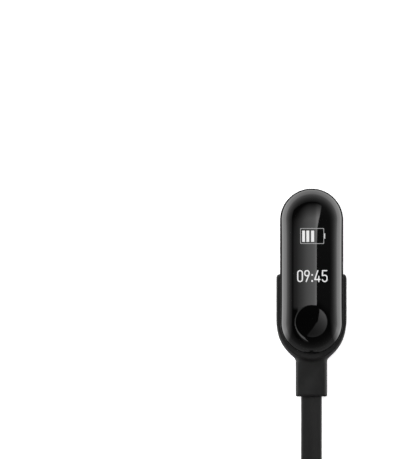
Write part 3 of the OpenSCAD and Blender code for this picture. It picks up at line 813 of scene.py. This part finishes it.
MATERIALS = {
    "glass_black": glass_material(),
    "display_lit": lit_material("display_lit", 0.86),
    "display_dim": lit_material("display_dim", 0.36),
    "board_green": board_material(),
    "gasket_black": textured("gasket_black", 0.012, 0.02, (0.6, 0.8), 4000, 0.00002),
    "panel": textured("panel", (0.02, 0.022, 0.03), (0.03, 0.033, 0.045), (0.1, 0.2), 2500, 0.000004),
    "flex_copper": textured("flex_copper", (0.42, 0.2, 0.05), (0.55, 0.3, 0.09), (0.35, 0.5),
                            3000, 0.00001),
    "sensor_film": textured("sensor_film", (0.25, 0.16, 0.04), (0.34, 0.24, 0.08), (0.3, 0.45),
                            3000, 0.00001),
    "shell_black": textured("shell_black", 0.006, 0.010, (0.4, 0.52), 5200, 0.00001),
    "chassis_grey": textured("chassis_grey", (0.05, 0.052, 0.06), (0.075, 0.078, 0.088),
                             (0.5, 0.65), 2600, 0.00002),
    "cell_foil": textured("cell_foil", (0.55, 0.56, 0.6), (0.7, 0.71, 0.74), (0.25, 0.45), 1500,
                          0.00003, metallic=1.0),
    "chip_black": textured("chip_black", 0.012, 0.02, (0.45, 0.6), 4000, 0.00001),
    "tin": textured("tin", (0.5, 0.51, 0.54), (0.62, 0.63, 0.66), (0.25, 0.4), 2200, 0.00001,
                    metallic=1.0),
    "gold": textured("gold", (0.75, 0.5, 0.17), (0.9, 0.66, 0.3), (0.16, 0.3), 3000, 0.000006,
                     metallic=0.75),
    "steel": textured("steel", (0.55, 0.56, 0.58), (0.68, 0.69, 0.71), (0.22, 0.36), 2400,
                      0.000008, metallic=1.0),
    "tungsten": textured("tungsten", (0.22, 0.19, 0.15), (0.34, 0.3, 0.24), (0.4, 0.6), 2600,
                         0.00003, metallic=1.0),
    "led_green": textured("led_green", (0.03, 0.4, 0.08), (0.08, 0.62, 0.16), (0.1, 0.2), 2000,
                          0.000005),
    "diode_dark": textured("diode_dark", (0.03, 0.03, 0.07), (0.06, 0.06, 0.11), (0.08, 0.16),
                           2000, 0.000004),
    "baffle_black": textured("baffle_black", 0.008, 0.014, (0.75, 0.9), 3500, 0.00004),
    "window_dark": textured("window_dark", (0.01, 0.01, 0.02), (0.02, 0.02, 0.034), (0.05, 0.1),
                            1200, 0.000003),
    "cradle_black": textured("cradle_black", 0.0055, 0.0095, (0.4, 0.52), 6000, 0.000012),
    "cord_black": textured("cord_black", 0.0065, 0.0105, (0.44, 0.58), 4200, 0.00001,
                           stretch=(1, 0.12, 1)),
    "grip_black": textured("grip_black", 0.0065, 0.0105, (0.42, 0.56), 5200, 0.000014),
    "spring_steel": textured("spring_steel", (0.5, 0.51, 0.53), (0.66, 0.67, 0.7), (0.2, 0.32),
                             3000, 0.000004, metallic=1.0),
    "lead_red": textured("lead_red", (0.36, 0.03, 0.02), (0.5, 0.05, 0.035), (0.4, 0.55), 2600,
                         0.00001),
    "core_white": textured("core_white", (0.72, 0.71, 0.66), (0.84, 0.83, 0.78), (0.4, 0.55), 1800,
                           0.00002),
    "usb_steel": textured("usb_steel", (0.46, 0.47, 0.49), (0.6, 0.61, 0.63), (0.26, 0.4), 2600,
                          0.000008, metallic=0.6, stretch=(1, 0.08, 1)),
    "tongue_white": textured("tongue_white", (0.8, 0.8, 0.77), (0.9, 0.9, 0.87), (0.35, 0.5),
                             1800, 0.00001),
}


def paint(obj, slot_name):
    obj.data.materials.clear()
    obj.data.materials.append(MATERIALS[slot_name])


for part in frame["record"]["subparts"]:
    paint(frame["nodes"][part["node"]], part["material_slot"])
for piece in (glass, case, cradle, cord, grip, collar, *coils):
    paint(piece, piece["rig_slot"])
paint(clock, "display_lit")
paint(bars, "display_lit")
paint(outline, "display_dim")


# ---------------------------------------------------------------- floor and light

def add_floor():
    """White table top, bright enough to lose its shadows as in a cut-out product picture."""
    bpy.ops.mesh.primitive_plane_add(size=12, location=(0, 0, -0.0002))
    floor = bpy.context.object
    floor.name = "floor"
    material, tree, shader = new_material("floor_white")
    tone = noise(tree, 3, 2)
    tree.links.new(ramp(tree, tone, [(0.3, 0.88), (0.7, 0.9)]), shader.inputs["Base Color"])
    shader.inputs["Roughness"].default_value = 0.9
    shader.inputs["Emission Color"].default_value = (1, 1, 1, 1)
    shader.inputs["Emission Strength"].default_value = 0.62
    floor.data.materials.append(material)
    floor.visible_glossy = False


add_floor()


def add_world():
    """Soft room, seen mostly in the gloss: a bright band round the horizon, dark above and below.

    The band is missing on the side that the cord leaves from, and dimmer on the far side.
    """
    world = bpy.data.worlds.new("room")
    world.use_nodes = True
    tree = world.node_tree
    background = next(n for n in tree.nodes if n.type == "BACKGROUND")
    coords = tree.nodes.new("ShaderNodeTexCoord")
    split = tree.nodes.new("ShaderNodeSeparateXYZ")
    tree.links.new(coords.outputs["Generated"], split.inputs["Vector"])

    def math_node(kind, a, b):
        node = tree.nodes.new("ShaderNodeMath")
        node.operation = kind
        for socket, value in zip(node.inputs, (a, b)):
            if isinstance(value, (int, float)):
                socket.default_value = value
            else:
                tree.links.new(value, socket)
        return node.outputs["Value"]

    height = math_node("MULTIPLY_ADD", split.outputs["Z"], 0.5)
    height.node.inputs[2].default_value = 0.5
    by_height = ramp(tree, height,
                     [(0.15, 0.0), (0.21, 2.3), (0.5, 2.1), (0.585, 2.0), (0.67, 0.98), (0.81, 0.38),
                      (0.89, 0.15), (0.965, 0.03)])
    flat = math_node("SQRT", math_node("SUBTRACT", 1.0, math_node(
        "MULTIPLY", split.outputs["Z"], split.outputs["Z"])), 0)
    heading = math_node("DIVIDE", split.outputs["Y"], math_node("MAXIMUM", flat, 0.001))
    turned = math_node("MULTIPLY_ADD", heading, 0.5)
    turned.node.inputs[2].default_value = 0.5
    by_heading = ramp(tree, turned, [(0.16, 0.09), (0.3, 1.0), (0.75, 1.0), (1.0, 0.72)])
    mix = tree.nodes.new("ShaderNodeMix")
    mix.data_type = "RGBA"
    mix.blend_type = "MULTIPLY"
    mix.inputs["Factor"].default_value = 1
    tree.links.new(by_height, mix.inputs["A"])
    tree.links.new(by_heading, mix.inputs["B"])
    tree.links.new(mix.outputs["Result"], background.inputs["Color"])
    bpy.context.scene.world = world


add_world()

CARD_HEIGHT = 900.0
CARD_LEFT = -30
CARD_ENDS = (-42, 34)
# Right edge of the card: (angle along the body, angle across it), in degrees from straight up
CARD_EDGE = [(-42, -4), (-25, -4.4), (-16, -3), (-12, 0), (-7.5, 4.6), (-5, 4.9), (0, 4.9),
             (13, 5.4), (22, 7.3), (32, 9)]
# Brightness across the main part of the card, the same way
CARD_GLOW = [(-30, 0), (-19, 0.1), (-13.5, 0.18), (-8, 0.46), (-3.6, 0.76), (1.5, 1.0), (3.5, 1.2),
             (5, 1.9)]
# Brightness across the end that the touch dimple reflects
CARD_END_GLOW = [(-22, 0), (-13, 0.1), (-11.5, 1.25), (-8, 1.05), (-4.5, 0.65), (0, 0.4), (5, 0.4)]


def look_up(table, at):
    return float(np.interp(at, *zip(*table)))


def rise(value, start, width, least=0):
    """Climbs from the least value to 1 while the value passes from the start over the width."""
    return min(max((value - start) / width, least), 1)


def card_glow(across, along):
    """Brightness of the card towards a direction, given by two angles in degrees."""
    corner = math.hypot(min(across, 0) / 20, max(along - 6.6, 0) / 26)
    rounded = rise(-corner, -0.84, 0.36)
    main = look_up(CARD_GLOW, across) * (1 - rise(along, 5, 15) * (1 - rounded))
    slant = 0.42 * max(-along - 20, 0)
    end = look_up(CARD_END_GLOW, across) * rise(-along, 6, 20, least=0.25)
    end *= rise(across, slant - 12.8, 1.5, least=0.06)
    return main + (end - main) * rise(-along, 7, 2)


def add_card():
    """Overhead light card, seen only in reflections: a sharp right edge and a fading left side."""
    columns = 60
    rows = np.linspace(*CARD_ENDS, 153)
    verts, glow = [], []
    for along in rows:
        edge = look_up(CARD_EDGE, along)
        for across in np.linspace(CARD_LEFT, edge, columns):
            verts.append((CARD_HEIGHT * math.tan(math.radians(across)),
                          CARD_HEIGHT * math.tan(math.radians(along)), CARD_HEIGHT))
            glow.append(card_glow(across, along))
    faces = [[k, k + columns, k + columns + 1, k + 1]
             for row in range(len(rows) - 1) for k in range(row * columns, (row + 1) * columns - 1)]
    card = add_mesh("light_card", verts, faces)
    layer = card.data.attributes.new("glow", "FLOAT", "POINT")
    layer.data.foreach_set("value", glow)
    material = bpy.data.materials.new("light_card")
    material.use_nodes = True
    tree = material.node_tree
    tree.nodes.clear()
    output = tree.nodes.new("ShaderNodeOutputMaterial")
    emission = tree.nodes.new("ShaderNodeEmission")
    shade = tree.nodes.new("ShaderNodeAttribute")
    shade.attribute_name = "glow"
    tree.links.new(shade.outputs["Fac"], emission.inputs["Strength"])
    tree.links.new(emission.outputs["Emission"], output.inputs["Surface"])
    card.data.materials.append(material)
    card.visible_camera = False
    card.visible_diffuse = False
    card.visible_shadow = False


add_card()


def add_area(name, place_m, size, power):
    """Soft lamp aimed at the frame's origin, not seen in the gloss."""
    data = bpy.data.lights.new(name, "AREA")
    data.shape = "RECTANGLE"
    data.size, data.size_y = size
    data.energy = power
    light = bpy.data.objects.new(name, data)
    light.location = place_m
    light.rotation_euler = (-Vector(place_m)).to_track_quat("-Z", "Y").to_euler()
    light.visible_camera = False
    light.visible_glossy = False
    bpy.context.scene.collection.objects.link(light)


add_area("key", (-1.1, 0.5, 1.3), (1.2, 1.2), 34)
add_area("fill", (0.9, 0.2, 1.6), (1.4, 1.4), 16)

scene = bpy.context.scene
scene.view_settings.view_transform = "Standard"
